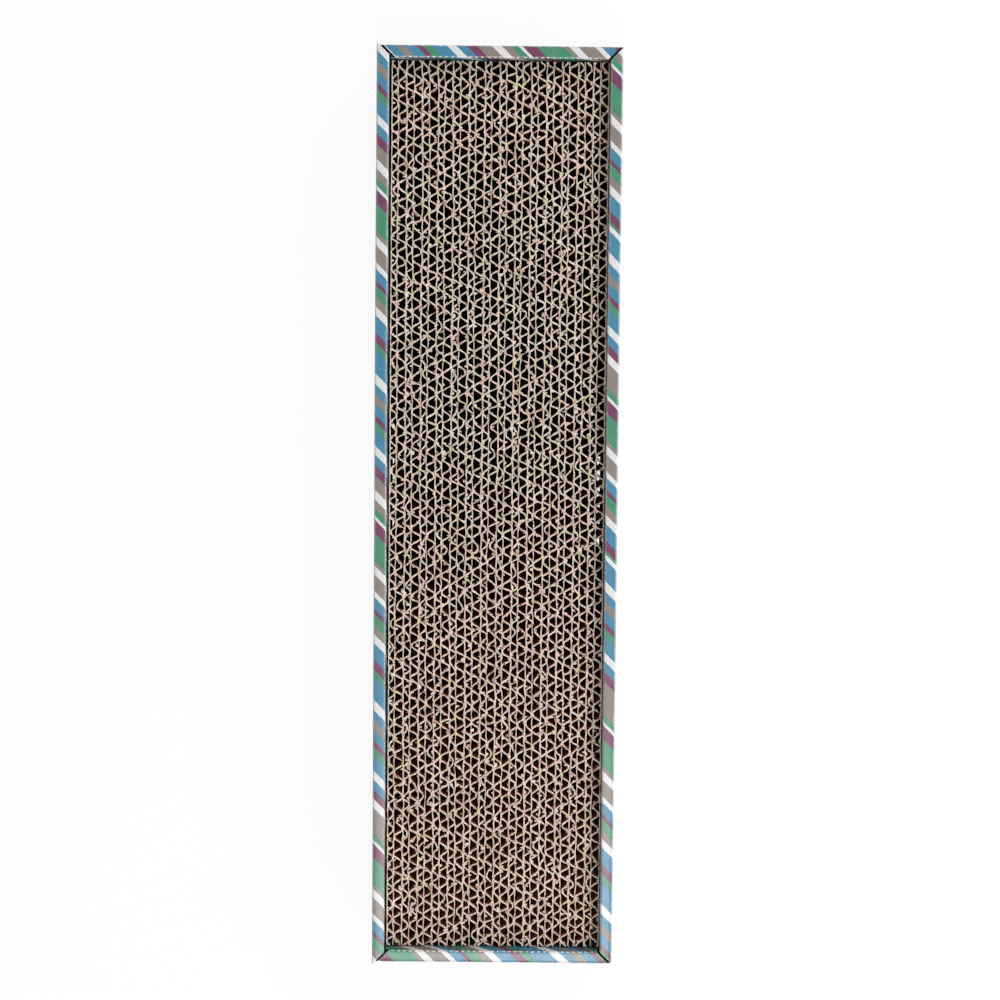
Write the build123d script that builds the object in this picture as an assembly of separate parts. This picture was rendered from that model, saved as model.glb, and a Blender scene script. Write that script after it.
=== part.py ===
from build123d import *
import math
import os

# Cardboard cat scratcher: a pad of glued corrugated strips, stood on edge, lying loose in a
# printed tray that is folded from one sheet of thin board. Lengths are in millimetres.
# X runs across the strips, Y along them and Z up, from the centre of the tray's underside.

# Strips of double wall board, each of three liners with a fine and a coarse flute between them
strip_count = 14
liner = 0.4
medium = 0.35
fine_gap = 2.88
coarse_gap = 3.97
fine_pitch = 8.1
coarse_pitch = 8.8
fine_bend = 0.8
coarse_bend = 1.0
glue_line = 0.05
phase_step_share = 0.618

# Pad of strips and the room that the tray leaves around it
pad_length = 465.4
pad_height = 42.0
pad_recess = 6.5
left_play = 1.2
right_play = 0.3
end_play = 0.9

# Tray board, its folds and the corner flaps inside its double end walls
board = 1.5
crease_share = 0.65
flap_play = 0.95
flap_reach = 32.0
flap_end_gap = 0.3
mitre_gap = 1.2
wall_end_gap = 0.5

# Tabs that lock the inner walls into slots in the floor
long_tab = 48.0
short_tab = 30.0
tab_end_play = 2.0
tab_face_play = 0.3
side_slot_reveal = 2.2
end_slot_reveal = 0.3
tab_lift = 0.3
wall_foot_gap = 0.3

# Sizes that follow from the driving dimensions
strip = 3 * liner + fine_gap + coarse_gap
pad_width = strip_count * strip
wall_cavity = board + 2 * flap_play
rim_width = 2 * board + wall_cavity
inner_width = pad_width + left_play + right_play
inner_length = pad_length + 2 * end_play
tray_width = inner_width + 2 * rim_width
tray_length = inner_length + 2 * rim_width
tray_height = board + pad_height + pad_recess
rim_under = tray_height - board
pad_left = left_play - inner_width / 2
side_slot_width = side_slot_reveal + board + tab_face_play
end_slot_width = end_slot_reveal + board + tab_face_play
mitre_shift = mitre_gap / math.sqrt(2)
fold_radius = crease_share * board


def block(low, high):
    """A box between two opposite corners."""
    size = [b - a for a, b in zip(low, high)]
    return Pos(*low) * Box(*size, align=Align.MIN)


def folded(shape, axis, level):
    """The shape with its edges along an axis, at one level in Z, rounded as a crease rounds them."""
    edges = shape.edges().filter_by(axis).filter_by_position(Axis.Z, level, level)
    return fillet(edges, fold_radius)


def outer_crease(shape, axis, across):
    """The shape with its lowest and outermost edge along an axis rounded."""
    edges = shape.edges().filter_by(axis).filter_by_position(Axis.Z, 0, 0)
    return fillet(edges.sort_by(across)[-1], fold_radius)


# Tray panels: those on the right and at the back are drawn, and their twins are mirrored from them

def tray_floor():
    """The panel under the pad, with a slot for the tab of each inner wall."""
    half_x = tray_width / 2 - board
    half_y = tray_length / 2 - board
    plate = block((-half_x, -half_y, 0), (half_x, half_y, board))
    slot_x = inner_width / 2 - side_slot_reveal
    slot_y = inner_length / 2 - end_slot_reveal
    long_half = long_tab / 2 + tab_end_play
    short_half = short_tab / 2 + tab_end_play
    side = block((slot_x, -long_half, 0), (slot_x + side_slot_width, long_half, board))
    end = block((-short_half, slot_y, 0), (short_half, slot_y + end_slot_width, board))
    return plate - [side, mirror(side, Plane.YZ), end, mirror(end, Plane.XZ)]


def side_outer_wall():
    """The long wall that shows from the side, up to the underside of its rim."""
    half_y = tray_length / 2 - board
    wall = block((tray_width / 2 - board, -half_y, 0), (tray_width / 2, half_y, rim_under))
    return outer_crease(wall, Axis.Y, Axis.X)


def end_outer_wall():
    """The short wall that shows from the end, across the whole tray."""
    half_x = tray_width / 2
    wall = block((-half_x, tray_length / 2 - board, 0), (half_x, tray_length / 2, rim_under))
    return outer_crease(wall, Axis.X, Axis.Y)


def side_rim():
    """The flat top of a long double wall, mitred at both ends."""
    outer_x, inner_x = tray_width / 2, inner_width / 2
    outer_y = tray_length / 2 - mitre_shift
    inner_y = inner_length / 2 - mitre_shift
    outline = Polyline(
        (outer_x, -outer_y), (outer_x, outer_y), (inner_x, inner_y), (inner_x, -inner_y), close=True
    )
    plate = Pos(0, 0, rim_under) * extrude(make_face(outline), board)
    return folded(plate, Axis.Y, tray_height)


def end_rim():
    """The flat top of a short double wall, mitred at both ends."""
    outer_y, inner_y = tray_length / 2, inner_length / 2
    outer_x = tray_width / 2 - mitre_shift
    inner_x = inner_width / 2 - mitre_shift
    outline = Polyline(
        (-outer_x, outer_y), (outer_x, outer_y), (inner_x, inner_y), (-inner_x, inner_y), close=True
    )
    plate = Pos(0, 0, rim_under) * extrude(make_face(outline), board)
    return folded(plate, Axis.X, tray_height)


def side_inner_wall():
    """The long wall rolled over the rim and down beside the pad, with its tab in the floor's slot."""
    near_x = inner_width / 2
    far_x = near_x + board
    half_y = inner_length / 2 - wall_end_gap
    foot = board + wall_foot_gap
    wall = block((near_x, -half_y, foot), (far_x, half_y, rim_under))
    tab = block((near_x, -long_tab / 2, tab_lift), (far_x, long_tab / 2, foot))
    return wall + tab


def end_inner_wall():
    """The short wall rolled over the rim and down at the end of the pad, with its tab in the floor's slot."""
    near_y = inner_length / 2
    far_y = near_y + board
    half_x = inner_width / 2 - wall_end_gap
    foot = board + wall_foot_gap
    wall = block((-half_x, near_y, foot), (half_x, far_y, rim_under))
    tab = block((-short_tab / 2, near_y, tab_lift), (short_tab / 2, far_y, foot))
    return wall + tab


def corner_flap():
    """The flap that turns the back right corner from the long wall and hides inside the end wall."""
    root_x = tray_width / 2 - board
    far_y = inner_length / 2 + board + flap_play
    low = (root_x - flap_reach, far_y, board + flap_end_gap)
    high = (root_x, far_y + board, rim_under - flap_end_gap)
    return block(low, high)


# Pad strips

def wave_side(pitch, bend, slope, corner_height, middle, first, last):
    """One side of a fluted sheet: arcs at its bends, joined by straight flanks, from one bend to another.

    corner_height is how far the flanks' meeting points stand from the sheet's middle, and bend holds
    the radius of the bends on the high side and on the low side.
    """
    edges = []
    joined_at = None
    for turn in range(first, last + 1):
        sign = 1 if turn % 2 == 0 else -1
        radius = bend[0] if sign > 0 else bend[1]
        corner_x = middle + sign * corner_height[0 if sign > 0 else 1]
        corner_y = turn * pitch / 2
        reach = radius * math.tan(slope)
        x_end = corner_x - sign * reach * math.sin(slope)
        x_top = corner_x - sign * radius * (1 / math.cos(slope) - 1)
        start = (x_end, corner_y - reach * math.cos(slope))
        finish = (x_end, corner_y + reach * math.cos(slope))
        if joined_at is not None:
            edges.append(Line(joined_at, start))
        edges.append(ThreePointArc(start, (x_top, corner_y), finish))
        joined_at = finish
    return edges


def fluted_sheet(gap_left, gap, pitch, bend, phase_share):
    """One fluted sheet, filling the gap between two liners but for the glue line on each of them."""
    half_pitch = pitch / 2
    rise = gap - 2 * glue_line - medium
    lean = 2 * bend - rise
    slope = math.asin(2 * bend / math.hypot(half_pitch, lean)) - math.atan2(lean, half_pitch)
    corner = half_pitch * math.tan(slope) / 2
    shift = medium / 2 / math.cos(slope)
    middle = gap_left + gap / 2
    outer_bend, inner_bend = bend + medium / 2, bend - medium / 2
    turns = math.ceil(pad_length / pitch) + 2
    turns += turns % 2
    right = wave_side(
        pitch, (outer_bend, inner_bend), slope, (corner + shift, corner - shift), middle, -turns, turns
    )
    left = wave_side(
        pitch, (inner_bend, outer_bend), slope, (corner - shift, corner + shift), middle, -turns, turns
    )
    caps = [Line(right[0] @ 0, left[0] @ 0), Line(right[-1] @ 1, left[-1] @ 1)]
    wave = Pos(0, phase_share * pitch) * make_face(right + left + caps)
    cut = wave & Pos(middle, 0) * Rectangle(gap, pad_length)
    return Pos(0, 0, board) * extrude(cut, pad_height)


def liner_sheet(left):
    """One flat facing sheet of a strip."""
    half = pad_length / 2
    return block((left, -half, board), (left + liner, half, board + pad_height))


def strip_parts(index):
    """The liners, fine flutes and coarse flutes of one strip, counted from the left of the pad."""
    left = pad_left + index * strip
    fine_left = left + liner
    middle_left = fine_left + fine_gap
    coarse_left = middle_left + liner
    last_left = coarse_left + coarse_gap
    fine_share = index * phase_step_share % 1
    coarse_share = (index + strip_count) * phase_step_share % 1
    name = f"strip_{index + 1:02d}"
    return {
        f"{name}_liners": Compound([liner_sheet(x) for x in (left, middle_left, last_left)]),
        f"{name}_fine_flutes": fluted_sheet(fine_left, fine_gap, fine_pitch, fine_bend, fine_share),
        f"{name}_coarse_flutes": fluted_sheet(
            coarse_left, coarse_gap, coarse_pitch, coarse_bend, coarse_share
        ),
    }


def tray_parts():
    """Every panel of the tray, by name."""
    parts = {"tray_floor": tray_floor()}
    for panel, shape in (
        ("outer_wall", side_outer_wall()), ("rim", side_rim()), ("inner_wall", side_inner_wall())
    ):
        parts[f"right_{panel}"] = shape
        parts[f"left_{panel}"] = mirror(shape, Plane.YZ)
    for panel, shape in (
        ("outer_wall", end_outer_wall()), ("rim", end_rim()), ("inner_wall", end_inner_wall())
    ):
        parts[f"back_{panel}"] = shape
        parts[f"front_{panel}"] = mirror(shape, Plane.XZ)
    flap = corner_flap()
    for end, pair in (("back", flap), ("front", mirror(flap, Plane.XZ))):
        parts[f"{end}_right_corner_flap"] = pair
        parts[f"{end}_left_corner_flap"] = mirror(pair, Plane.YZ)
    return parts


parts = tray_parts()
for number in range(strip_count):
    parts.update(strip_parts(number))

os.makedirs("parts", exist_ok=True)
for part_name, part_shape in parts.items():
    export_step(part_shape, f"parts/{part_name}.step")

print("tray", round(tray_length, 2), "by", round(tray_width, 2), "by", round(tray_height, 2))
print("pad", round(pad_length, 2), "by", round(pad_width, 2), "by", round(pad_height, 2))
print("nodes", len(parts))
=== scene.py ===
import bmesh
import bpy
import math
import random
from mathutils import Euler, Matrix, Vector, noise


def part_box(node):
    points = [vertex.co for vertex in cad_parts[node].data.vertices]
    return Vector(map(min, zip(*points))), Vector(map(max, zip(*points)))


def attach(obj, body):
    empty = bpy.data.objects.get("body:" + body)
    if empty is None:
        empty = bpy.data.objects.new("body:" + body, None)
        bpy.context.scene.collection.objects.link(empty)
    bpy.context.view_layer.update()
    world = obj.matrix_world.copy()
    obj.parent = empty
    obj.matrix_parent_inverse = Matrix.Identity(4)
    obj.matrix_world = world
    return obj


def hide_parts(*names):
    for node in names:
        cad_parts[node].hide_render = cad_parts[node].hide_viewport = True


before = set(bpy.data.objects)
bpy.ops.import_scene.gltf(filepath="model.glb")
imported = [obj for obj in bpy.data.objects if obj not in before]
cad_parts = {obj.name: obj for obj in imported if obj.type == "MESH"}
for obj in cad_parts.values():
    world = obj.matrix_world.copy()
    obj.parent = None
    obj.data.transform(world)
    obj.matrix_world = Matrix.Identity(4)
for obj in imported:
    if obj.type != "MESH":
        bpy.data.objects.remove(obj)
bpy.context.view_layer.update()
mm = 0.001
near = 0.1 * mm  # within this a point counts as lying on a face
scene = bpy.context.scene
noise.seed_set(23)
print("frame loaded with", len(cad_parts), "nodes")


# Shared helpers

def linearColour(red, green, blue):  # screen values 0 to 255 to scene colour
    def channel(value):
        value = value / 255
        return value / 12.92 if value <= 0.04045 else ((value + 0.055) / 1.055) ** 2.4
    return (channel(red), channel(green), channel(blue), 1.0)


def addPiece(name, bm, body, materials, nodes):
    mesh = bpy.data.meshes.new(name)
    bm.to_mesh(mesh)
    bm.free()
    for material in materials:
        mesh.materials.append(material)
    piece = bpy.data.objects.new(name, mesh)
    scene.collection.objects.link(piece)
    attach(piece, body)
    if nodes:
        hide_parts(*nodes)
    return piece


def addNode(tree, kind, settings=None, values=None):
    node = tree.nodes.new(kind)
    for key, value in (settings or {}).items():
        setattr(node, key, value)
    for key, value in (values or {}).items():
        if isinstance(value, bpy.types.NodeSocket):
            tree.links.new(value, node.inputs[key])
        else:
            node.inputs[key].default_value = value
    return node


def mathNode(tree, operation, first, second=0.0, third=None, clamp=False):
    values = {0: first, 1: second}
    if third is not None:
        values[2] = third
    settings = {"operation": operation, "use_clamp": clamp}
    return addNode(tree, "ShaderNodeMath", settings, values).outputs[0]


def noiseNode(tree, vector, scale, detail=3.0, roughness=0.55):
    values = {"Vector": vector, "Scale": scale, "Detail": detail, "Roughness": roughness}
    return addNode(tree, "ShaderNodeTexNoise", None, values).outputs[0]


def rangeNode(tree, value, low, high, newLow=0.0, newHigh=1.0):
    values = {"Value": value, "From Min": low, "From Max": high, "To Min": newLow, "To Max": newHigh}
    return addNode(tree, "ShaderNodeMapRange", {"clamp": True}, values).outputs[0]


def waveNode(tree, place, pitch):
    return mathNode(tree, "SINE", mathNode(tree, "MULTIPLY", place, 2 * math.pi / pitch))


def mixColour(tree, share, first, second):  # each colour is a socket or three screen values
    first, second = (linearColour(*c) if isinstance(c, tuple) else c for c in (first, second))
    values = {0: share, 6: first, 7: second}  # the mix node's own numbers for its colour sockets
    return addNode(tree, "ShaderNodeMix", {"data_type": "RGBA"}, values).outputs[2]


def splitNode(tree, vector):
    return addNode(tree, "ShaderNodeSeparateXYZ", None, {0: vector}).outputs


def sheetNode(tree):  # place on the flat sheet that the tray is folded from
    return addNode(tree, "ShaderNodeUVMap", {"uv_map": "sheet"}).outputs[0]


def objectNode(tree):
    return addNode(tree, "ShaderNodeTexCoord").outputs["Object"]


def newGroup(name, inputs, outputs):
    tree = bpy.data.node_groups.new(name, "ShaderNodeTree")
    for title, kind, value in inputs:
        socket = tree.interface.new_socket(name=title, in_out="INPUT", socket_type=kind)
        if value is not None:
            socket.default_value = value
    for title, kind in outputs:
        tree.interface.new_socket(name=title, in_out="OUTPUT", socket_type=kind)
    return tree, tree.nodes.new("NodeGroupInput"), tree.nodes.new("NodeGroupOutput")


def useGroup(tree, group, values):
    return addNode(tree, "ShaderNodeGroup", {"node_tree": group}, values).outputs


def newMaterial(name, roughness, shine=0.25):
    material = bpy.data.materials.new(name)
    material.use_nodes = True
    shader = material.node_tree.nodes["Principled BSDF"]
    shader.inputs["Roughness"].default_value = roughness
    shader.inputs["Specular IOR Level"].default_value = shine
    return material, material.node_tree, shader


def addBump(tree, shader, height, strength, distance):
    values = {"Strength": strength, "Distance": distance, "Height": height}
    bump = addNode(tree, "ShaderNodeBump", None, values)
    tree.links.new(bump.outputs["Normal"], shader.inputs["Normal"])


# Paper fibres: short streaks and soft clouding, used by every paper surface

fibres = {
    "streakScale": 900.0, "streakStretch": 0.25, "streakDetail": 4.0, "streakRoughness": 0.65,
    "cloudScale": 90.0, "cloudDetail": 3.0, "cloudRoughness": 0.5, "cloudHeight": 0.5,
    "low": 0.3, "high": 0.7,  # the part of the noise that is spread over 0 to 1
}


def paperFibreGroup():
    tree, source, sink = newGroup(
        "paperFibre",
        [("Vector", "NodeSocketVector", None), ("Streak Scale", "NodeSocketFloat", fibres["streakScale"]),
         ("Cloud Scale", "NodeSocketFloat", fibres["cloudScale"])],
        [("Streak", "NodeSocketFloat"), ("Cloud", "NodeSocketFloat"), ("Height", "NodeSocketFloat")],
    )
    spot = source.outputs["Vector"]
    stretch = (1.0, fibres["streakStretch"], 1.0)
    stretched = addNode(tree, "ShaderNodeMapping", None, {"Vector": spot, "Scale": stretch}).outputs[0]
    streak = noiseNode(tree, stretched, source.outputs["Streak Scale"],
                       fibres["streakDetail"], fibres["streakRoughness"])
    cloud = noiseNode(tree, spot, source.outputs["Cloud Scale"],
                      fibres["cloudDetail"], fibres["cloudRoughness"])
    height = mathNode(tree, "ADD", streak, mathNode(tree, "MULTIPLY", cloud, fibres["cloudHeight"]))
    for title, value in (("Streak", streak), ("Cloud", cloud)):
        tree.links.new(rangeNode(tree, value, fibres["low"], fibres["high"]), sink.inputs[title])
    tree.links.new(height, sink.inputs["Height"])
    return tree


paperFibre = paperFibreGroup()


def plainPaperMaterial(name, look, spotNode):  # clouded paper, with flecks where its look has them
    material, tree, shader = newMaterial(name, look["roughness"], look["shine"])
    scales = {"Streak Scale": look["streakScale"], "Cloud Scale": look["cloudScale"]}
    fibre = useGroup(tree, paperFibre, {"Vector": spotNode(tree), **scales})
    colour = mixColour(tree, fibre["Cloud"], look["dark"], look["light"])
    if "fleck" in look:
        share = rangeNode(tree, fibre["Streak"], look["fleckFrom"], 1.0, 0.0, look["fleckShare"])
        colour = mixColour(tree, share, colour, look["fleck"])
    tree.links.new(colour, shader.inputs["Base Color"])
    addBump(tree, shader, fibre["Height"], look["bumpStrength"], look["bumpDepth"])
    return material


# Printed tray: stripes, creases and board

tray = {
    "width": 127 * mm, "length": 480 * mm, "height": 50 * mm, "board": 1.5 * mm,
    "rim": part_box("left_rim")[1].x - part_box("left_rim")[0].x,
    "fold": 0.98 * mm, "foldSegments": 5, "flapRound": 6 * mm, "flapSegments": 6,
    "alongStep": 9 * mm, "upStep": 8 * mm, "acrossStep": 2.1 * mm, "sharpFrom": math.radians(35),
    "unevenness": 0.22 * mm, "unevenPeriod": 85 * mm, "unevenUp": 0.6, "unevenFrom": 12 * mm,
    "footGap": 0.3 * mm, "sideTabHalf": 24 * mm, "endTabHalf": 15 * mm,
    "sideSlotShift": -0.2 * mm, "sideSlotHalf": (2 * mm, 26 * mm),  # slots' middles, from the inner walls
    "endSlotShift": 0.875 * mm, "endSlotHalf": (17 * mm, 0.925 * mm),
    "bulges": {"left": 0.4 * mm, "right": 0.0, "back": 0.25 * mm, "front": 0.55 * mm}, "bulgeRise": 0.6,
    "rimEnds": {  # how far each mitred end is folded past its place, at its low and high end
        "left": (2.2 * mm, 2.3 * mm), "right": (0.9 * mm, 0.5 * mm),
        "back": (-2.4 * mm, -0.4 * mm), "front": (-1.8 * mm, -0.9 * mm),
    },
}

stripes = {
    "repeat": 171.2 * mm, "start": -85.3 * mm, "edgeWobble": 0.15 * mm, "wobbleScale": 420.0,
    "sideAllowance": 0.8 * mm, "endAllowance": 1.8 * mm,  # sheet taken up by the folds of a wall
    "loneWhites": [(-296.3, -291.2), (-125.1, -120.1), (38.0, 42.7)],  # mm, where the repeat varies
    "rightWhites": [(-28.6, -25.6), (142.6, 145.6)],  # mm, only beyond the floor's right edge
    "inks": {
        "white": (226, 226, 227), "blue": (63, 131, 163), "taupe": (138, 127, 120),
        "purple": (113, 54, 91), "green": (64, 138, 105),
    },
    "run": [  # mm
        ("white", 4.2), ("taupe", 9), ("white", 3), ("blue", 6), ("purple", 3), ("green", 5.5),
        ("taupe", 5), ("white", 4.2), ("blue", 9), ("purple", 5), ("green", 4), ("blue", 12),
        ("white", 5.6), ("blue", 5), ("taupe", 5), ("blue", 6), ("purple", 3), ("green", 5),
        ("blue", 8), ("white", 4.4), ("blue", 5.6), ("purple", 5), ("taupe", 17), ("green", 4),
        ("white", 2.2), ("purple", 7.6), ("green", 13.6), ("taupe", 3.1),
    ],
}

creaseRubAndHighlight = {
    "reach": 1.2 * mm, "creaseShare": 0.2,
    "tipFrom": -1.2 * mm, "tipTo": 0.4 * mm, "tipShare": 0.3,  # from the ends of the long sides
    "patchScale": 700.0, "patchDetail": 4.0, "patchRoughness": 0.7, "bareFrom": 0.7, "bareTo": 0.8,
}


def creaseWearAndHighlightGroup():  # how near a point of the flat sheet is to the creases of the long sides and of the ends, for the painted crease highlight and for the rubbed ink
    tree, source, sink = newGroup(
        "creaseWearAndHighlight", [("Sheet", "NodeSocketVector", None), ("Reach", "NodeSocketFloat", creaseRubAndHighlight["reach"])],
        [("Side Crease", "NodeSocketFloat"), ("End Crease", "NodeSocketFloat"), ("Rubbed", "NodeSocketFloat")],
    )
    sheet = source.outputs["Sheet"]
    parts = splitNode(tree, sheet)
    creases, sizes = [], []
    for axis, half, allowance in ((0, tray["width"] / 2, stripes["sideAllowance"]),
                                  (1, tray["length"] / 2, stripes["endAllowance"])):
        size = mathNode(tree, "ABSOLUTE", parts[axis])
        sizes.append(size)
        nearest = None
        top = half + tray["height"] + allowance
        for line in (half, top, top + tray["rim"]):
            gap = mathNode(tree, "ABSOLUTE", mathNode(tree, "SUBTRACT", size, line))
            nearest = gap if nearest is None else mathNode(tree, "MINIMUM", nearest, gap)
        share = mathNode(tree, "DIVIDE", nearest, source.outputs["Reach"])
        creases.append(mathNode(tree, "SUBTRACT", 1.0, share, clamp=True))
    crease = mathNode(tree, "MAXIMUM", creases[0], creases[1])
    onRim = mathNode(tree, "GREATER_THAN", sizes[0], tray["width"] / 2 + tray["height"])
    end = tray["length"] / 2
    tip = rangeNode(tree, sizes[1], end + creaseRubAndHighlight["tipFrom"], end + creaseRubAndHighlight["tipTo"])
    tip = mathNode(tree, "MULTIPLY", tip, onRim)  # the mitred points wear first
    patch = noiseNode(tree, sheet, creaseRubAndHighlight["patchScale"], creaseRubAndHighlight["patchDetail"], creaseRubAndHighlight["patchRoughness"])
    worn = mathNode(tree, "ADD", mathNode(tree, "MULTIPLY", crease, creaseRubAndHighlight["creaseShare"]),
                    mathNode(tree, "MULTIPLY", tip, creaseRubAndHighlight["tipShare"]))
    bare = rangeNode(tree, mathNode(tree, "ADD", patch, worn), creaseRubAndHighlight["bareFrom"], creaseRubAndHighlight["bareTo"])
    rubbed = mathNode(tree, "MULTIPLY", mathNode(tree, "MAXIMUM", crease, tip), bare)
    for title, value in (("Side Crease", creases[0]), ("End Crease", creases[1]), ("Rubbed", rubbed)):
        tree.links.new(value, sink.inputs[title])
    return tree


creaseWearAndHighlight = creaseWearAndHighlightGroup()

printLook = {
    "roughness": (0.2, 0.28), "shine": 0.35, "streakScale": 1500.0, "cloudScale": 120.0,
    "mottle": (232, 230, 226), "mottleShare": 0.035,
    "speck": (60, 58, 58), "speckFrom": 0.55, "speckShare": 0.12,
    # the crease colour and its side and end shares are a painted highlight along the folds
    "creaseHighlight": (236, 236, 236), "sideHighlight": 0.3, "endHighlight": 0.06, "rubbed": (240, 238, 234),
    "flutePitch": 3.2 * mm, "fluteShare": 0.35, "bumpStrength": 0.35, "bumpDepth": 0.012 * mm,
}


def stripeColour(tree, across, onRight):  # the ink at a place across the stripes
    place = mathNode(tree, "DIVIDE", mathNode(tree, "SUBTRACT", across, stripes["start"]), stripes["repeat"])
    ramp = addNode(tree, "ShaderNodeValToRGB", None, {0: mathNode(tree, "FRACT", place)})
    ramp.color_ramp.interpolation = "CONSTANT"
    stops = ramp.color_ramp.elements
    total = sum(width for ink, width in stripes["run"])
    reached = 0.0
    for number, (ink, width) in enumerate(stripes["run"]):
        if number < 2:  # a new ramp has two stops
            stop = stops[number]
            stop.position = reached / total
        else:
            stop = stops.new(reached / total)
        stop.color = linearColour(*stripes["inks"][ink])
        reached += width
    inked = ramp.outputs[0]
    for low, high in stripes["loneWhites"] + stripes["rightWhites"]:
        inside = mathNode(tree, "COMPARE", across, (low + high) / 2 * mm, (high - low) / 2 * mm)
        if (low, high) in stripes["rightWhites"]:
            inside = mathNode(tree, "MULTIPLY", inside, onRight)
        inked = mixColour(tree, inside, inked, stripes["inks"]["white"])
    return inked


def stripedPrintMaterial():
    look = printLook
    material, tree, shader = newMaterial("stripedPrint", sum(look["roughness"]) / 2, look["shine"])
    sheet = sheetNode(tree)
    scales = {"Streak Scale": look["streakScale"], "Cloud Scale": look["cloudScale"]}
    fibre = useGroup(tree, paperFibre, {"Vector": sheet, **scales})
    wearAndHighlight = useGroup(tree, creaseWearAndHighlight, {"Sheet": sheet})
    parts = splitNode(tree, sheet)
    wobble = noiseNode(tree, sheet, stripes["wobbleScale"], 2.0)
    wobble = rangeNode(tree, wobble, fibres["low"], fibres["high"], -stripes["edgeWobble"], stripes["edgeWobble"])
    across = mathNode(tree, "ADD", mathNode(tree, "SUBTRACT", parts[0], parts[1]), wobble)
    inked = stripeColour(tree, across, mathNode(tree, "GREATER_THAN", parts[0], tray["width"] / 2))
    share = rangeNode(tree, fibre["Cloud"], 0.0, 1.0, 0.0, look["mottleShare"])
    mottled = mixColour(tree, share, inked, look["mottle"])
    share = rangeNode(tree, fibre["Streak"], look["speckFrom"], 1.0, 0.0, look["speckShare"])
    speckled = mixColour(tree, share, mottled, look["speck"])
    # painted highlight: the print is lightened along the creases, where the rounded folds catch the light
    share = mathNode(tree, "ADD", mathNode(tree, "MULTIPLY", wearAndHighlight["Side Crease"], look["sideHighlight"]),
                     mathNode(tree, "MULTIPLY", wearAndHighlight["End Crease"], look["endHighlight"]))
    creaseHighlight = mixColour(tree, share, speckled, look["creaseHighlight"])
    tree.links.new(mixColour(tree, wearAndHighlight["Rubbed"], creaseHighlight, look["rubbed"]), shader.inputs["Base Color"])
    tree.links.new(rangeNode(tree, fibre["Cloud"], 0.0, 1.0, *look["roughness"]), shader.inputs["Roughness"])
    washboard = mathNode(tree, "MULTIPLY", waveNode(tree, parts[0], look["flutePitch"]), look["fluteShare"])
    height = mathNode(tree, "ADD", washboard, fibre["Height"])  # the board's small flutes show through
    addBump(tree, shader, height, look["bumpStrength"], look["bumpDepth"])
    return material


rawLook = {  # the unprinted inside of the tray
    "roughness": 0.85, "shine": 0.25, "streakScale": 1100.0, "cloudScale": 70.0,
    "dark": (176, 160, 140), "light": (192, 178, 158),
    "fleck": (128, 108, 88), "fleckFrom": 0.6, "fleckShare": 0.4,
    "bumpStrength": 0.4, "bumpDepth": 0.08 * mm,
}

cutLook = {  # the cut edge of thin board: two facings with a small wave between them, and painted shade in the open hollows
    "roughness": 0.9, "streakScale": 2200.0, "pitch": 3.2 * mm, "swing": 0.26,
    "waveEdge": (0.08, 0.14), "facingEdge": (0.33, 0.38),  # shares of the board's thickness
    "dark": (205, 198, 188), "light": (228, 224, 216), "hollowShade": (70, 58, 48),
    "fibreHeight": 0.4, "bumpStrength": 0.6, "bumpDepth": 0.2 * mm,
}

foldShadeLook = {  # deep inside the mitred corners: painted shade, a dark sheet on the hidden faces of the creased board that show only through the mitre gaps
    "roughness": 0.95, "shine": 0.05, "streakScale": 1200.0, "cloudScale": 200.0,
    "dark": (30, 26, 24), "light": (52, 45, 41), "bumpStrength": 0.5, "bumpDepth": 0.1 * mm,
}


def cutBoardMaterial():
    look = cutLook
    material, tree, shader = newMaterial("cutBoard", look["roughness"])
    edge = sheetNode(tree)
    parts = splitNode(tree, edge)
    depth = mathNode(tree, "DIVIDE", parts[1], tray["board"])
    middle = mathNode(tree, "MULTIPLY_ADD", waveNode(tree, parts[0], look["pitch"]), look["swing"], 0.5)
    fromWave = mathNode(tree, "ABSOLUTE", mathNode(tree, "SUBTRACT", depth, middle))
    fromMiddle = mathNode(tree, "ABSOLUTE", mathNode(tree, "SUBTRACT", depth, 0.5))
    paper = mathNode(tree, "MAXIMUM", rangeNode(tree, fromWave, *look["waveEdge"], 1.0, 0.0),
                     rangeNode(tree, fromMiddle, *look["facingEdge"]))
    fibre = useGroup(tree, paperFibre, {"Vector": edge, "Streak Scale": look["streakScale"]})
    tone = mixColour(tree, fibre["Cloud"], look["dark"], look["light"])
    # painted shade: the open hollows between the facings and the wave are coloured dark
    tree.links.new(mixColour(tree, paper, look["hollowShade"], tone), shader.inputs["Base Color"])
    height = mathNode(tree, "ADD", paper, mathNode(tree, "MULTIPLY", fibre["Height"], look["fibreHeight"]))
    addBump(tree, shader, height, look["bumpStrength"], look["bumpDepth"])
    return material


boardLook = [
    stripedPrintMaterial(), plainPaperMaterial("rawBoard", rawLook, sheetNode),
    cutBoardMaterial(), plainPaperMaterial("foldShade", foldShadeLook, objectNode),
]
boardSides = {"print": 0, "raw": 1, "cut": 2, "shade": 3}  # places in boardLook
facing = {"top": 0.9, "print": 0.35, "raw": 0.6, "end": 0.4}  # how squarely such a face looks its way
print("tray materials ready")


def sideAxes(side):  # the axis along a wall, the axis across it, and the way it faces
    along, across = (1, 0) if side in ("left", "right") else (0, 1)
    out = Vector()
    out[across] = 1 if side in ("right", "back") else -1
    return along, across, out


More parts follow.
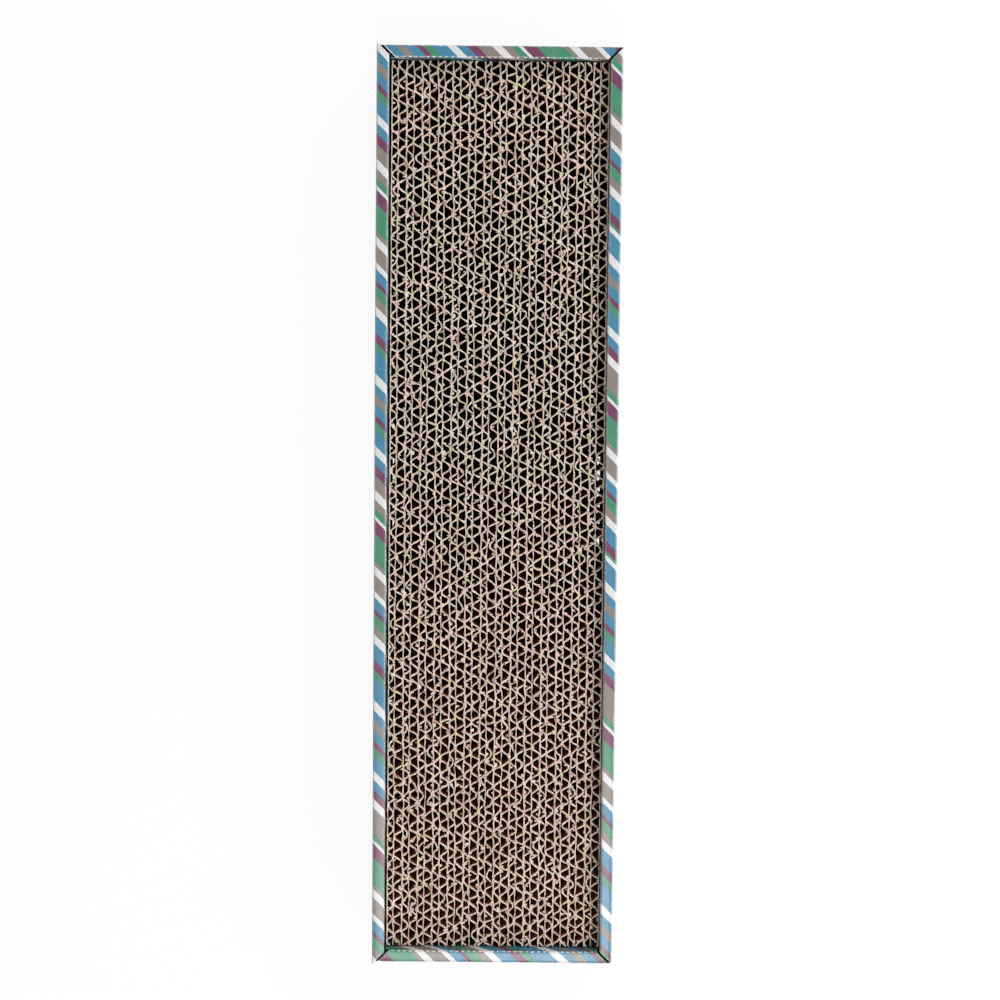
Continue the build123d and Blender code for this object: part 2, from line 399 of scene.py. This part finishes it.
def sheetPlace(node, p):  # a point of the folded tray on the flat sheet it was folded from
    side = node.split("_")[0]
    if node == "tray_floor":
        return p.x, p.y
    if node.endswith("corner_flap"):
        right = 1 if "right" in node else -1
        back = 1 if side == "back" else -1
        return (right * (tray["width"] / 2 + p.z),
                back * (tray["length"] / 2 + tray["width"] / 2 - abs(p.x)))
    along, across, out = sideAxes(side)
    long = across == 0
    half = tray["width"] / 2 if long else tray["length"] / 2
    inset = half - abs(p[across])
    if inset < tray["rim"] / 2:
        away = half + p.z + inset
    else:
        away = half + 2 * tray["height"] + inset - p.z
    taken = stripes["sideAllowance" if long else "endAllowance"]
    away += min(1.0, (away - half) / tray["height"]) * taken
    return (out.x * away, p.y) if long else (p.x, out.y * away)


def unevenPlace(p):  # slow unevenness of folded board, none where it stands on the floor
    drift = noise.noise_vector(p / tray["unevenPeriod"]) * tray["unevenness"]
    drift.z *= tray["unevenUp"]
    return p + drift * min(1.0, max(0.0, p.z / tray["unevenFrom"]))


def boardSlab(low, high):
    bm = bmesh.new()
    bmesh.ops.create_cube(bm, size=1.0)
    bmesh.ops.scale(bm, vec=high - low, verts=bm.verts)
    bmesh.ops.translate(bm, vec=(low + high) / 2, verts=bm.verts)
    return bm


def edgesAlong(bm, axis):
    return [e for e in bm.edges if abs((e.verts[1].co - e.verts[0].co).normalized()[axis]) > 0.999]


def divideAlong(bm, axis, step):
    edges = [e for e in edgesAlong(bm, axis) if e.calc_length() > 1.5 * step]
    if edges:
        cuts = max(1, round(max(e.calc_length() for e in edges) / step) - 1)
        bmesh.ops.subdivide_edges(bm, edges=edges, cuts=cuts, use_grid_fill=True)


def roundEdges(bm, edges, radius, segments):
    bmesh.ops.bevel(bm, geom=edges, offset=radius, offset_type="OFFSET", segments=segments,
                    profile=0.5, affect="EDGES", material=-1)


def cutAcross(bm, spot, way):
    bmesh.ops.bisect_plane(bm, geom=bm.verts[:] + bm.edges[:] + bm.faces[:], plane_co=spot, plane_no=way)


def paintBoard(bm, node, printed, raw, thickAxis, low):  # print, inside and cut edges, with their UVs
    layer = bm.loops.layers.uv.new("sheet")
    bm.normal_update()
    for face in bm.faces:
        # painted shade: the board's upward faces, seen only in the mitre gaps, take the dark foldShade sheet
        if thickAxis < 2 and face.normal.z > facing["top"]:
            kind = "shade"
        elif any(face.normal.dot(d) > facing["print"] for d in printed):
            kind = "print"
        elif any(face.normal.dot(d) > facing["raw"] for d in raw):
            kind = "raw"
        else:
            kind = "cut"
        face.material_index = boardSides[kind]
        normalAxis = max(range(3), key=lambda i: abs(face.normal[i]) if i != thickAxis else -1)
        alongAxis = 3 - thickAxis - normalAxis
        for loop in face.loops:
            p = loop.vert.co
            if kind == "cut":
                loop[layer].uv = (p[alongAxis], p[thickAxis] - low[thickAxis])
            else:
                loop[layer].uv = sheetPlace(node, p)


def finishBoard(bm, node, smooth=True):
    for v in bm.verts:
        v.co = unevenPlace(v.co)
    for face in bm.faces:
        face.smooth = smooth
    for e in bm.edges:
        if len(e.link_faces) == 2 and e.calc_face_angle(0.0) > tray["sharpFrom"]:
            e.smooth = False
    addPiece(node + "_board", bm, "tray", boardLook, [node])


def outerWall(side):
    node = side + "_outer_wall"
    low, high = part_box(node)
    along, across, out = sideAxes(side)
    middle = abs(low[across] + high[across]) / 2
    bm = boardSlab(low, high)
    foot = [e for e in edgesAlong(bm, along)
            if all(v.co.z < low.z + near and v.co[across] * out[across] > middle for v in e.verts)]
    roundEdges(bm, foot, tray["fold"], tray["foldSegments"])
    divideAlong(bm, along, tray["alongStep"])
    divideAlong(bm, 2, tray["upStep"])
    paintBoard(bm, node, [out, Vector((0, 0, -1))], [-out], across, low)
    finishBoard(bm, node)


def rimBoard(side):
    node = side + "_rim"
    low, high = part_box(node)
    along, across, out = sideAxes(side)
    bm = boardSlab(low, high)
    folds = [e for e in edgesAlong(bm, along) if all(v.co.z > high.z - near for v in e.verts)]
    roundEdges(bm, folds, tray["fold"], tray["foldSegments"])
    divideAlong(bm, along, tray["alongStep"])
    divideAlong(bm, across, tray["acrossStep"])
    outer = max(abs(low[across]), abs(high[across]))
    reach = high[along]
    past = tray["rimEnds"][side]
    for v in bm.verts:  # mitre: shorter towards the inside
        end = reach - (outer - abs(v.co[across])) + past[0 if v.co[along] < 0 else 1]
        v.co[along] *= end / reach
    bm.normal_update()
    layer = bm.loops.layers.uv.new("sheet")
    for face in bm.faces:
        # painted shade: the mitred end faces take the dark foldShade sheet
        endCut = abs(face.normal[along]) > facing["end"]
        kind = "shade" if endCut else "raw" if face.normal.z < -facing["raw"] else "print"
        face.material_index = boardSides[kind]
        for loop in face.loops:
            p = loop.vert.co
            loop[layer].uv = (p[across], p.z - low.z) if endCut else sheetPlace(node, p)
    finishBoard(bm, node)


def innerWall(side):
    node = side + "_inner_wall"
    low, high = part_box(node)
    along, across, out = sideAxes(side)
    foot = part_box("tray_floor")[1].z + tray["footGap"]
    tabHalf = tray["sideTabHalf"] if across == 0 else tray["endTabHalf"]
    wallLow = low.copy()
    wallLow.z = foot
    bm = boardSlab(wallLow, high)
    for cut in (-tabHalf, tabHalf):
        spot, way = Vector(), Vector()
        spot[along], way[along] = cut, 1.0
        cutAcross(bm, spot, way)
    middles = [(f, f.calc_center_median()) for f in bm.faces]
    under = [f for f, middle in middles if middle.z < foot + near and abs(middle[along]) < tabHalf]
    tab = bmesh.ops.extrude_face_region(bm, geom=under)
    tabVerts = [g for g in tab["geom"] if isinstance(g, bmesh.types.BMVert)]
    bmesh.ops.translate(bm, vec=(0, 0, low.z - foot), verts=tabVerts)
    bmesh.ops.delete(bm, geom=under, context="FACES")
    bmesh.ops.recalc_face_normals(bm, faces=bm.faces)
    divideAlong(bm, along, tray["alongStep"])
    divideAlong(bm, 2, tray["upStep"])
    paintBoard(bm, node, [-out], [out], across, low)
    half = high[along]
    bulge = tray["bulges"][side]
    for v in bm.verts:  # the middle of the wall leans in towards the pad
        down = min(1.0, max(0.0, (high.z - v.co.z) / (high.z - foot)))
        lean = math.sin(math.pi * down ** tray["bulgeRise"]) * (1 - (v.co[along] / half) ** 2)
        v.co -= out * bulge * lean
    finishBoard(bm, node)


def cornerFlap(end, side):
    node = f"{end}_{side}_corner_flap"
    low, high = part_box(node)
    out = sideAxes(end)[2]
    bm = boardSlab(low, high)
    tipX = min(abs(low.x), abs(high.x))
    tip = [e for e in edgesAlong(bm, 1) if all(abs(v.co.x) < tipX + mm for v in e.verts)]
    roundEdges(bm, tip, tray["flapRound"], tray["flapSegments"])
    paintBoard(bm, node, [out], [-out], 1, low)
    finishBoard(bm, node, smooth=False)


def floorBoard():
    node = "tray_floor"
    low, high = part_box(node)
    bm = boardSlab(low, high)
    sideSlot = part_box("right_inner_wall")[0].x + tray["sideSlotShift"]
    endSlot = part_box("back_inner_wall")[0].y + tray["endSlotShift"]
    slots = [(s * sideSlot, 0.0, *tray["sideSlotHalf"]) for s in (-1, 1)]
    slots += [(0.0, s * endSlot, *tray["endSlotHalf"]) for s in (-1, 1)]
    for x, y, halfX, halfY in slots:
        for cut in (x - halfX, x + halfX):
            cutAcross(bm, (cut, 0, 0), (1, 0, 0))
        for cut in (y - halfY, y + halfY):
            cutAcross(bm, (0, cut, 0), (0, 1, 0))
    for x, y, halfX, halfY in slots:
        middles = [(f, f.calc_center_median()) for f in bm.faces if abs(f.normal.z) > facing["top"]]
        inside = [f for f, middle in middles if abs(middle.x - x) < halfX and abs(middle.y - y) < halfY]
        bmesh.ops.delete(bm, geom=inside, context="FACES")
        bmesh.ops.bridge_loops(bm, edges=[e for e in bm.edges if e.is_boundary])
    bmesh.ops.recalc_face_normals(bm, faces=bm.faces)
    paintBoard(bm, node, [Vector((0, 0, -1))], [Vector((0, 0, 1))], 2, low)
    finishBoard(bm, node, smooth=False)


floorBoard()
for side in ("left", "right", "back", "front"):
    outerWall(side)
    rimBoard(side)
    innerWall(side)
for end in ("back", "front"):
    for side in ("left", "right"):
        cornerFlap(end, side)
print("tray folded")


# Perforated creases along the inside of the short rims: torn white lips between the uncut bridges

perforation = {
    "pitch": 3.1 * mm, "length": 1.7 * mm, "width": 0.75 * mm, "proud": 0.4 * mm, "endGap": 2.5 * mm,
    "inset": 0.42 * mm, "sunk": 0.2 * mm, "lean": math.radians(38), "taper": (0.8, 0.55, 1.0),
    "shift": 0.2, "lengths": (0.75, 1.15), "widths": (0.7, 1.2), "tilt": 0.12, "twist": 0.08,
    "seeds": {"back": 41, "front": 43},
}

tornLook = {
    "roughness": 0.95, "shine": 0.25, "streakScale": 2500.0, "cloudScale": 400.0,
    "dark": (205, 203, 198), "light": (240, 239, 236), "bumpStrength": 0.6, "bumpDepth": 0.1 * mm,
}
tornFibre = plainPaperMaterial("tornFibre", tornLook, objectNode)


def perforatedCrease(side):
    low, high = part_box(side + "_rim")
    sign = sideAxes(side)[2].y
    inner = min(abs(low.y), abs(high.y)) + perforation["inset"]
    dice = random.Random(perforation["seeds"][side])
    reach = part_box(side + "_inner_wall")[1].x - perforation["endGap"]
    tilt, twist = perforation["tilt"], perforation["twist"]
    bm = bmesh.new()
    for number in range(int(2 * reach / perforation["pitch"])):
        x = -reach + (number + 0.5) * perforation["pitch"]
        x += dice.uniform(-perforation["shift"], perforation["shift"]) * mm
        lip = bmesh.ops.create_cube(bm, size=1.0)["verts"]
        length = perforation["length"] * dice.uniform(*perforation["lengths"])
        width = perforation["width"] * dice.uniform(*perforation["widths"])
        bmesh.ops.scale(bm, vec=(length, width, perforation["proud"]), verts=lip)
        bmesh.ops.scale(bm, vec=perforation["taper"], verts=[v for v in lip if v.co.z > 0])
        turn = Euler((perforation["lean"] * sign, dice.uniform(-tilt, tilt), dice.uniform(-twist, twist)))
        bmesh.ops.rotate(bm, matrix=turn.to_matrix(), verts=lip)
        spot = unevenPlace(Vector((x, sign * inner, high.z - perforation["sunk"])))
        bmesh.ops.translate(bm, vec=spot, verts=lip)
    addPiece(side + "_perforation", bm, "tray", [tornFibre], [])


perforatedCrease("back")
perforatedCrease("front")
print("perforations torn")


# Corrugated strips of the pad

pad = {
    "firstSeed": 2207, "linerSeed": 977, "phaseStep": 0.618, "stripCount": 14, "rows": 5,
    "linerStep": 1.4 * mm, "linerDepth": 0.08 * mm, "outerDepth": 0.2 * mm, "middleDepth": 0.25 * mm,
    "linerDrift": 0.5 * mm, "driftPeriod": 70 * mm,
    "linerWobble": 0.85 * mm, "footWobble": 0.35,  # the foot's share of the wobble
    "slowBend": 0.55, "slowPeriod": 7 * mm, "quickBend": 0.45, "quickPeriod": 2.9 * mm,
    "topFrom": 0.98, "topRag": 0.25 * mm, "ragSpread": 0.7,
    "topDip": 2.6 * mm, "dipPeriod": 5 * mm, "dipFrom": 0.2, "topSway": 0.5 * mm, "swayPeriod": 2.6 * mm,
}
flutes = {
    "fine": {"pitch": 8.1 * mm, "crestDrift": 0.45 * mm, "tongues": 100},
    "coarse": {"pitch": 8.8 * mm, "crestDrift": 0.5 * mm, "tongues": 104},
}
bends = {
    "perWave": 12, "linerGap": 0.2 * mm, "spread": 0.03, "crushShare": 0.1, "crushed": (0.4, 0.8),
    "gain": 1.42, "bow": 0.8, "spare": 2,  # straight flanks, flat crests and the bends past each end
}
fray = {
    "liner": 0.64 * mm, "flute": 1.05 * mm, "sheetShare": 0.4, "depth": 1.6 * mm, "weights": (0.1, 1.0),
    "linerTongues": 70, "longest": 1.8 * mm, "lengths": (0.25, 1.0), "pinch": (0.2, 0.8),
    "slip": (-0.7, 0.7), "drop": (-1.8, 0.35), "runs": (1, 1, 2), "apart": 3, "endGaps": (2, 6),
}

kraft = {
    "streakScale": 1400.0, "cloudScale": 150.0, "warmScale": 210.0, "greyScale": 160.0,
    "greyShift": (0.31, 0.17, 0.05), "patchDetail": 2.0, "patchFrom": 0.52, "patchTo": 0.72,
    "tintShare": 0.28, "fleckFrom": 0.6, "fleckShare": 0.3, "ripple": 1.2, "bumpStrength": 0.5,
}
kraftFace = {
    "dark": (193, 145, 105), "light": (212, 165, 122), "warm": (213, 155, 115), "grey": (199, 161, 121),
    "patchShare": 0.3, "roughness": 0.9, "bumpDepth": 0.1 * mm,
}
kraftCut = {
    "dark": (206, 187, 172), "light": (239, 223, 211), "warm": (243, 203, 194), "grey": (217, 214, 166),
    "patchShare": 0.9, "roughness": 0.95, "bumpDepth": 0.15 * mm,
}


def kraftMaterial(name, look):
    material, tree, shader = newMaterial(name, look["roughness"])
    spot = objectNode(tree)
    scales = {"Streak Scale": kraft["streakScale"], "Cloud Scale": kraft["cloudScale"]}
    fibre = useGroup(tree, paperFibre, {"Vector": spot, **scales})
    tint = addNode(tree, "ShaderNodeAttribute", {"attribute_name": "tint"}).outputs["Fac"]
    shifted = {"Vector": spot, "Location": kraft["greyShift"]}
    aside = addNode(tree, "ShaderNodeMapping", None, shifted).outputs[0]
    colour = mixColour(tree, fibre["Cloud"], look["dark"], look["light"])
    for place, scale, patch in ((spot, "warmScale", "warm"), (aside, "greyScale", "grey")):
        cloud = noiseNode(tree, place, kraft[scale], kraft["patchDetail"])
        share = rangeNode(tree, cloud, kraft["patchFrom"], kraft["patchTo"], 0.0, look["patchShare"])
        colour = mixColour(tree, share, colour, look[patch])
    colour = mixColour(tree, mathNode(tree, "MULTIPLY", tint, kraft["tintShare"]), colour, look["dark"])
    share = rangeNode(tree, fibre["Streak"], kraft["fleckFrom"], 1.0, 0.0, kraft["fleckShare"])
    tree.links.new(mixColour(tree, share, colour, look["dark"]), shader.inputs["Base Color"])
    ripple = waveNode(tree, splitNode(tree, spot)[1], flutes["fine"]["pitch"])
    height = mathNode(tree, "MULTIPLY_ADD", ripple, kraft["ripple"], fibre["Height"])  # flutes show through
    addBump(tree, shader, height, kraft["bumpStrength"], look["bumpDepth"])
    return material


kraftLook = [kraftMaterial("kraftFace", kraftFace), kraftMaterial("kraftCut", kraftCut)]
cutEdge = 1  # place of the cut edges' paper in kraftLook


def paperGrid(alongCount, rows, tint):
    bm = bmesh.new()
    layer = bm.verts.layers.float.new("tint")
    bmesh.ops.create_grid(bm, x_segments=alongCount, y_segments=rows, size=0.5)
    for v in bm.verts:
        v[layer] = tint
    return bm


def gridPlace(v, low, high):  # along the strip, and the share of its height; rows crowd towards the top
    return low.y + (v.co.x + 0.5) * (high.y - low.y), 1 - (0.5 - v.co.y) ** 2


def frayTop(bm, dice, count, top, leftmost, rightmost):  # torn tongues of paper that hang over the cells
    crest = [e for e in bm.edges if e.is_boundary and all(v.co.z > top - fray["depth"] for v in e.verts)]
    crest.sort(key=lambda e: e.verts[0].co.y + e.verts[1].co.y)
    first, spare = fray["endGaps"]
    starts = sorted(dice.sample(range(first, len(crest) - spare), count))
    runs, last = [], -math.inf
    for start in starts:
        if start - last > fray["apart"]:
            runs.append(crest[start:start + dice.choice(fray["runs"])])
            last = start
    ways = (1,) if leftmost else (-1,) if rightmost else (-1, 1)  # none towards the tray's walls
    for run in runs:
        made = bmesh.ops.extrude_edge_only(bm, edges=run)["geom"]
        verts = [g for g in made if isinstance(g, bmesh.types.BMVert)]
        for face in (g for g in made if isinstance(g, bmesh.types.BMFace)):
            face.material_index = cutEdge
        middle = sum((v.co for v in verts), Vector()) / len(verts)
        way = dice.choice(ways) * dice.uniform(*fray["lengths"]) * fray["longest"]
        for v in verts:
            v.co = middle + (v.co - middle) * dice.uniform(*fray["pinch"])
            v.co += Vector((way, dice.uniform(*fray["slip"]) * mm, dice.uniform(*fray["drop"]) * mm))


def frayWeights(piece, top, dice, thickest):  # the cut edge is fuzzier, so thicker, than the sheet below it
    group = piece.vertex_groups.new(name="fray")
    for v in piece.data.vertices:
        if top - v.co.z < fray["depth"]:
            group.add([v.index], dice.uniform(*fray["weights"]), "REPLACE")
    sheet = piece.modifiers.new("thickness", "SOLIDIFY")
    sheet.thickness = thickest
    sheet.offset = 0.0
    sheet.vertex_group = "fray"
    sheet.thickness_vertex_group = fray["sheetShare"]
    sheet.material_offset_rim = cutEdge


def topDrop(y, sheet, dice):  # ragged cut, with short stretches that are crushed lower
    crushed = max(0.0, noise.noise(Vector((y / pad["dipPeriod"], sheet * 6.1, 8.0))) - pad["dipFrom"])
    return pad["topRag"] * abs(dice.gauss(0, pad["ragSpread"])) + pad["topDip"] * crushed


def linerPlace(index, number, y, up):  # liners that are glued together bend together
    low, high = stripBoxes[index]
    first, last = index == 0, index == pad["stripCount"] - 1
    if number == 0:
        x = low.x + (pad["outerDepth"] if first else pad["linerDepth"])
    elif number == 2:
        x = high.x - (pad["outerDepth"] if last else pad["linerDepth"])
    else:
        x = fineBoxes[index][1].x + pad["middleDepth"]
    if (first and number == 0) or (last and number == 2):
        return x
    sheet = 2 * index + number  # the numbers below set each sheet's bends apart
    drift = noise.noise(Vector((y / pad["driftPeriod"], sheet * 7.3, 2.0))) * pad["linerDrift"]
    slow = pad["slowBend"] * noise.noise(Vector((y / pad["slowPeriod"], sheet * 3.1, 0.0)))
    quick = pad["quickBend"] * noise.noise(Vector((y / pad["quickPeriod"], sheet * 4.7, 1.0)))
    share = pad["footWobble"] + (1 - pad["footWobble"]) * up
    return x + drift + (slow + quick) * pad["linerWobble"] * share


def crestRow(form, share, low, high, dice):  # where each bend of a fluted sheet lies and how far it reaches
    half = form["pitch"] / 2
    first = math.floor((low.y - share * form["pitch"]) / half) - bends["spare"]
    last = math.ceil((high.y - share * form["pitch"]) / half) + bends["spare"]
    row = []
    for turn in range(first, last + 1):
        reach = 1.0 - abs(dice.gauss(0, bends["spread"]))
        if dice.random() < bends["crushShare"]:
            reach *= dice.uniform(*bends["crushed"])
        place = share * form["pitch"] + turn * half + dice.gauss(0, form["crestDrift"])
        row.append((place, reach if turn % 2 == 0 else -reach))
    return row


def wavePlace(row, y):  # from -1 at the left liner to 1 at the right one
    for (start, first), (finish, second) in zip(row, row[1:]):
        if start <= y < finish:
            turned = bends["bow"] * math.cos(math.pi * (y - start) / (finish - start))
            swing = bends["gain"] * math.asin(turned) / math.asin(bends["bow"])
            swing = max(-1.0, min(1.0, swing))
            return first * (1 + swing) / 2 + second * (1 - swing) / 2
    return 0.0


def fluteSheet(kind, index):
    node = f"strip_{index + 1:02d}_{kind}_flutes"
    low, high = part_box(node)
    form = flutes[kind]
    dice = random.Random(pad["firstSeed"] + 31 * index + (7 if kind == "fine" else 0))
    share = (index if kind == "fine" else index + pad["stripCount"]) * pad["phaseStep"] % 1
    row = crestRow(form, share, low, high, dice)
    alongCount = round((high.y - low.y) / form["pitch"] * bends["perWave"])
    bm = paperGrid(alongCount, pad["rows"], dice.random())
    leftLiner = 0 if kind == "fine" else 1
    waves = {}
    for v in bm.verts:
        y, up = gridPlace(v, low, high)
        key = round(y * 1e6)
        if key not in waves:
            waves[key] = wavePlace(row, y)
        left = linerPlace(index, leftLiner, y, up) + bends["linerGap"]
        right = linerPlace(index, leftLiner + 1, y, up) - bends["linerGap"]
        x = (left + right) / 2 + (right - left) / 2 * waves[key]
        v.co = Vector((x, y, low.z + up * (high.z - low.z)))
        if up > pad["topFrom"]:
            sway = noise.noise(Vector((y / pad["swayPeriod"], index * 3.7, leftLiner * 9.1)))
            v.co.x += pad["topSway"] * sway
            v.co.z -= topDrop(y, 50 + 2 * index + leftLiner, dice)
    leftmost = kind == "fine" and index == 0
    rightmost = kind == "coarse" and index == pad["stripCount"] - 1
    frayTop(bm, dice, form["tongues"], high.z, leftmost, rightmost)
    piece = addPiece(f"strip_{index + 1:02d}_{kind}_sheet", bm, "pad", kraftLook, [node])
    frayWeights(piece, high.z, dice, fray["flute"])


def linerSheets(index):
    node = f"strip_{index + 1:02d}_liners"
    low, high = stripBoxes[index]
    dice = random.Random(pad["firstSeed"] + pad["linerSeed"] + index)
    merged = bmesh.new()
    merged.verts.layers.float.new("tint")
    for number in range(3):
        bm = paperGrid(round((high.y - low.y) / pad["linerStep"]), pad["rows"] - 1, dice.random())
        for v in bm.verts:
            y, up = gridPlace(v, low, high)
            v.co = Vector((linerPlace(index, number, y, up), y, low.z + up * (high.z - low.z)))
            if up > pad["topFrom"]:
                v.co.z -= topDrop(y, 2 * index + number, dice)
        leftmost = index == 0 and number == 0
        rightmost = index == pad["stripCount"] - 1 and number == 2
        frayTop(bm, dice, fray["linerTongues"], high.z, leftmost, rightmost)
        spare = bpy.data.meshes.new("linerSheet")
        bm.to_mesh(spare)
        bm.free()
        merged.from_mesh(spare)
        bpy.data.meshes.remove(spare)
    piece = addPiece(f"strip_{index + 1:02d}_liner_sheets", merged, "pad", kraftLook, [node])
    frayWeights(piece, high.z, dice, fray["liner"])


stripBoxes = [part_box(f"strip_{n + 1:02d}_liners") for n in range(pad["stripCount"])]
fineBoxes = [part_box(f"strip_{n + 1:02d}_fine_flutes") for n in range(pad["stripCount"])]
for index in range(pad["stripCount"]):
    linerSheets(index)
    fluteSheet("fine", index)
    fluteSheet("coarse", index)
print("pad glued up from", pad["stripCount"], "strips")


# Floor, light and camera

studio = {
    "floorHalf": 3.0, "floorDrop": 0.05 * mm, "floorColour": (0.95, 0.95, 0.95, 1.0),
    "floorGlow": 0.93, "whiteFrom": 0.4, "whiteAt": 1.4, "white": (1.0, 1.0, 1.0, 1.0), "worldStrength": 0.2,
    "lamps": [  # place, size, power
        ((1.5, -0.2, 1.2), 0.8, 7.0), ((0.9, -1.7, 1.0), 1.0, 21.0), ((0.9, 1.7, 1.1), 0.8, 23.0),
        ((0.09, -0.75, 1.9), 0.5, 11.0),
    ],
}
cameraView = {
    "place": (-8.2 * mm, 98.2 * mm, 1301.6 * mm), "turn": (-4.235, -0.432, 0.551),  # degrees
    "focal": 2405.5, "picture": 1000, "sensor": 36.0, "clip": (0.05, 20.0),  # focal length in pixels
}


def seenNode(tree):  # where the camera looks, straight, mirrored or through something clear
    path = addNode(tree, "ShaderNodeLightPath").outputs
    seen = mathNode(tree, "MAXIMUM", path["Is Camera Ray"], path["Is Glossy Ray"])
    return mathNode(tree, "MAXIMUM", seen, path["Is Transmission Ray"])


def studioFloor():
    bm = bmesh.new()
    bmesh.ops.create_grid(bm, x_segments=1, y_segments=1, size=studio["floorHalf"])
    bmesh.ops.translate(bm, vec=(0, 0, -studio["floorDrop"]), verts=bm.verts)
    mesh = bpy.data.meshes.new("studioFloor")
    bm.to_mesh(mesh)
    bm.free()
    material = bpy.data.materials.new("paleFloor")
    material.use_nodes = True
    tree = material.node_tree
    tree.nodes.clear()
    shade = addNode(tree, "ShaderNodeBsdfDiffuse", None, {"Color": studio["floorColour"]})
    glow = addNode(tree, "ShaderNodeEmission", None, {"Color": studio["white"], "Strength": 1.0})
    far = addNode(tree, "ShaderNodeVectorMath", {"operation": "LENGTH"}, {0: objectNode(tree)}).outputs["Value"]
    glowing = rangeNode(tree, far, studio["whiteFrom"], studio["whiteAt"], studio["floorGlow"], 1.0)
    share = mathNode(tree, "MULTIPLY", seenNode(tree), glowing)
    blend = addNode(tree, "ShaderNodeMixShader", None, {0: share, 1: shade.outputs[0], 2: glow.outputs[0]})
    addNode(tree, "ShaderNodeOutputMaterial", None, {"Surface": blend.outputs[0]})
    mesh.materials.append(material)
    floor = bpy.data.objects.new("studioFloor", mesh)
    scene.collection.objects.link(floor)


def studioLight():
    world = bpy.data.worlds.new("studio")
    scene.world = world
    world.use_nodes = True
    tree = world.node_tree
    sky = tree.nodes["Background"]
    sky.inputs["Color"].default_value = studio["white"]
    strength = rangeNode(tree, seenNode(tree), 0.0, 1.0, studio["worldStrength"], 1.0)
    tree.links.new(strength, sky.inputs["Strength"])
    for number, (place, size, power) in enumerate(studio["lamps"]):
        lamp = bpy.data.lights.new(f"softbox{number}", "AREA")
        lamp.shape, lamp.size, lamp.energy = "SQUARE", size, power
        holder = bpy.data.objects.new(f"softbox{number}", lamp)
        holder.location = place
        holder.rotation_euler = Vector(place).to_track_quat("Z", "Y").to_euler()
        scene.collection.objects.link(holder)


def photoCamera():
    lens = bpy.data.cameras.new("photoCamera")
    lens.sensor_width = cameraView["sensor"]
    lens.lens = cameraView["sensor"] * cameraView["focal"] / cameraView["picture"]
    lens.clip_start, lens.clip_end = cameraView["clip"]
    eye = bpy.data.objects.new("photoCamera", lens)
    eye.location = cameraView["place"]
    eye.rotation_euler = [math.radians(a) for a in cameraView["turn"]]
    scene.collection.objects.link(eye)
    scene.camera = eye


studioFloor()
studioLight()
photoCamera()
scene.view_settings.view_transform = "Standard"
print("studio set")
